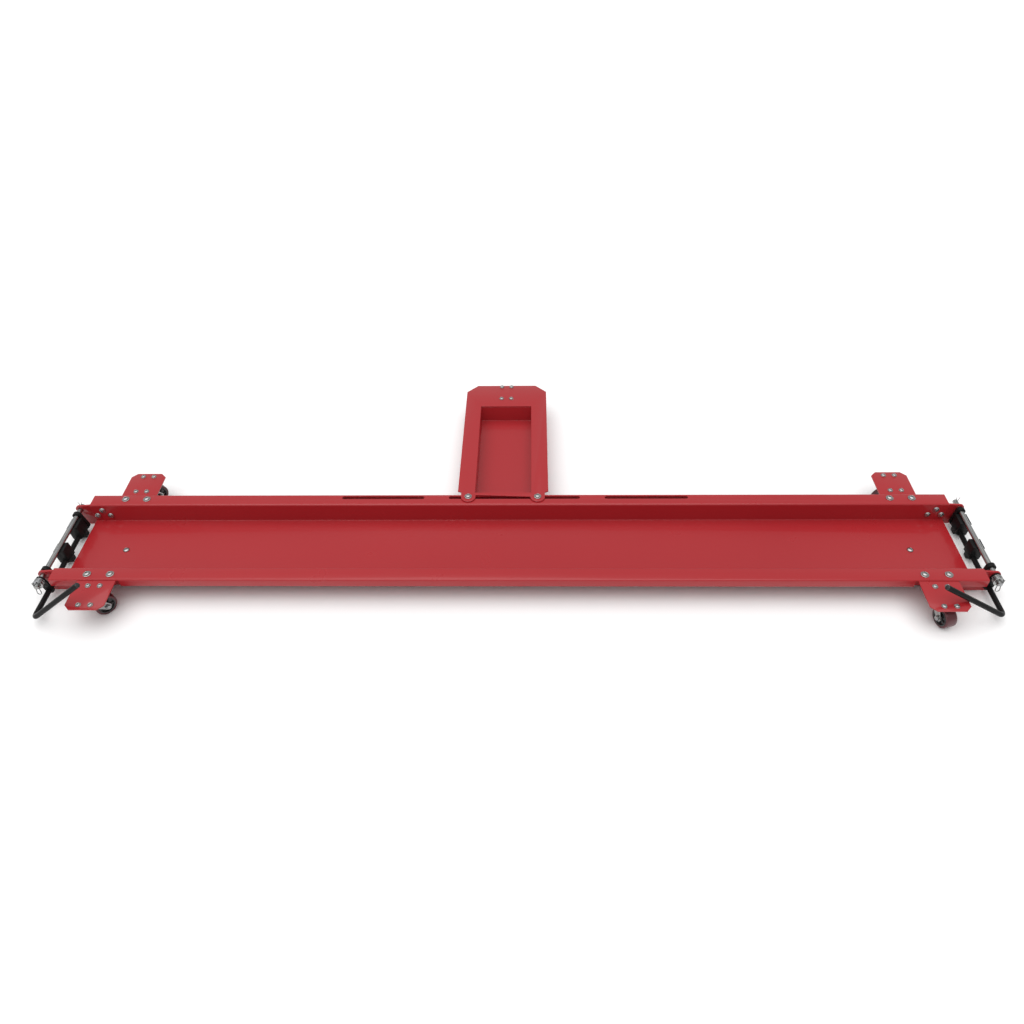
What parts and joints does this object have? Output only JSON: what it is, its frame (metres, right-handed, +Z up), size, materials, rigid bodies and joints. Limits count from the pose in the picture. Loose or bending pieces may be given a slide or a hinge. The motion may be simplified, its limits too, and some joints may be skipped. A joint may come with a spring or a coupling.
{
  "type": "motorcycle dolly",
  "caption": "Long folded steel wheel channel on casters, with a sliding side tray for the kickstand and a foot-operated stand at each end.",
  "frame": {"origin": "middle of the whole footprint, on the ground", "axes": "+X along the channel, +Y towards the kickstand tray, +Z up"},
  "size_m": [2.184, 0.8317, 0.1402],
  "materials": {
    "red_paint": "high-gloss red powder coat",
    "black_paint": "semi-gloss black powder coat",
    "zinc_plate": "bright zinc plate",
    "rubber_pad": "matt black moulded rubber",
    "wheel": "black moulded wheel with a dark red tread"
  },
  "bodies": {
    "frame": {"channel": "red_paint", "outrigger_saddle_left": "red_paint", "outrigger_saddle_right": "red_paint", "axle_arm_near_left": "red_paint", "axle_arm_far_left": "red_paint", "axle_arm_near_right": "red_paint", "axle_arm_far_right": "red_paint", "axle_rod_left": "zinc_plate", "axle_spring_left": "zinc_plate", "axle_washer_left": "zinc_plate", "hairpin_clip_left": "zinc_plate", "cotter_pin_left": "zinc_plate", "axle_rod_right": "zinc_plate", "axle_spring_right": "zinc_plate", "axle_washer_right": "zinc_plate", "hairpin_clip_right": "zinc_plate", "cotter_pin_right": "zinc_plate", "caster_plate_near_left": "zinc_plate", "caster_plate_far_left": "zinc_plate", "caster_plate_near_right": "zinc_plate", "caster_plate_far_right": "zinc_plate"},
    "kick_support": {"kick_plate": "red_paint", "kick_tray": "red_paint", "kick_bolt_left": "zinc_plate", "kick_bolt_right": "zinc_plate", "caster_plate_kick": "zinc_plate"},
    "stand_left": {"stand_bar_left": "black_paint", "stand_cheek_near_left": "black_paint", "stand_cheek_far_left": "black_paint", "stand_cheek_outer_left": "black_paint", "foot_bracket_near_left": "black_paint", "foot_pad_near_left": "rubber_pad", "foot_bracket_far_left": "black_paint", "foot_pad_far_left": "rubber_pad"},
    "stand_right": {"stand_bar_right": "black_paint", "stand_cheek_near_right": "black_paint", "stand_cheek_far_right": "black_paint", "stand_cheek_outer_right": "black_paint", "foot_bracket_near_right": "black_paint", "foot_pad_near_right": "rubber_pad", "foot_bracket_far_right": "black_paint", "foot_pad_far_right": "rubber_pad"},
    "swivel_near_left": {"caster_fork_near_left": "zinc_plate", "caster_axle_near_left": "zinc_plate"},
    "wheel_near_left": {"caster_wheel_near_left": "wheel"},
    "swivel_far_left": {"caster_fork_far_left": "zinc_plate", "caster_axle_far_left": "zinc_plate"},
    "wheel_far_left": {"caster_wheel_far_left": "wheel"},
    "swivel_near_right": {"caster_fork_near_right": "zinc_plate", "caster_axle_near_right": "zinc_plate"},
    "wheel_near_right": {"caster_wheel_near_right": "wheel"},
    "swivel_far_right": {"caster_fork_far_right": "zinc_plate", "caster_axle_far_right": "zinc_plate"},
    "wheel_far_right": {"caster_wheel_far_right": "wheel"},
    "swivel_kick": {"caster_fork_kick": "zinc_plate", "caster_axle_kick": "zinc_plate"},
    "wheel_kick": {"caster_wheel_kick": "wheel"}
  },
  "joints": [
    {"name": "kick_slide", "type": "slide", "parent": "frame", "child": "kick_support", "axis": [1, 0, 0], "range_m": [-0.043, 0.099]},
    {"name": "stand_hinge_left", "type": "hinge", "parent": "frame", "child": "stand_left", "pos_m": [-1.08, -0.1851, 0.054], "axis": [0, -1, 0], "range_deg": [-7.3, 10]},
    {"name": "stand_hinge_right", "type": "hinge", "parent": "frame", "child": "stand_right", "pos_m": [1.08, -0.1851, 0.054], "axis": [0, 1, 0], "range_deg": [-0.5, 16.8]},
    {"name": "swivel_near_left", "type": "hinge", "parent": "frame", "child": "swivel_near_left", "pos_m": [-0.9395, -0.3701, 0.055], "axis": [0, 0, 1], "continuous": true},
    {"name": "roll_near_left", "type": "hinge", "parent": "swivel_near_left", "child": "wheel_near_left", "pos_m": [-0.92664, -0.35478, 0.025], "axis": [-0.766, 0.6428, 0], "continuous": true},
    {"name": "swivel_far_left", "type": "hinge", "parent": "frame", "child": "swivel_far_left", "pos_m": [-0.9395, -0.0001, 0.055], "axis": [0, 0, 1], "continuous": true},
    {"name": "roll_far_left", "type": "hinge", "parent": "swivel_far_left", "child": "wheel_far_left", "pos_m": [-0.92664, 0.01522, 0.025], "axis": [-0.766, 0.6428, 0], "continuous": true},
    {"name": "swivel_near_right", "type": "hinge", "parent": "frame", "child": "swivel_near_right", "pos_m": [0.9395, -0.3701, 0.055], "axis": [0, 0, 1], "continuous": true},
    {"name": "roll_near_right", "type": "hinge", "parent": "swivel_near_right", "child": "wheel_near_right", "pos_m": [0.94468, -0.38942, 0.025], "axis": [0.9659, 0.2588, 0], "continuous": true},
    {"name": "swivel_far_right", "type": "hinge", "parent": "frame", "child": "swivel_far_right", "pos_m": [0.9395, -0.0001, 0.055], "axis": [0, 0, 1], "continuous": true},
    {"name": "roll_far_right", "type": "hinge", "parent": "swivel_far_right", "child": "wheel_far_right", "pos_m": [0.92071, -0.00694, 0.025], "axis": [0.342, -0.9397, 0], "continuous": true},
    {"name": "swivel_kick", "type": "hinge", "parent": "kick_support", "child": "swivel_kick", "pos_m": [-0.028, 0.3799, 0.055], "axis": [0, 0, 1], "continuous": true},
    {"name": "roll_kick", "type": "hinge", "parent": "swivel_kick", "child": "wheel_kick", "pos_m": [-0.04438, 0.36843, 0.025], "axis": [0.5736, -0.8192, 0], "continuous": true}
  ]
}
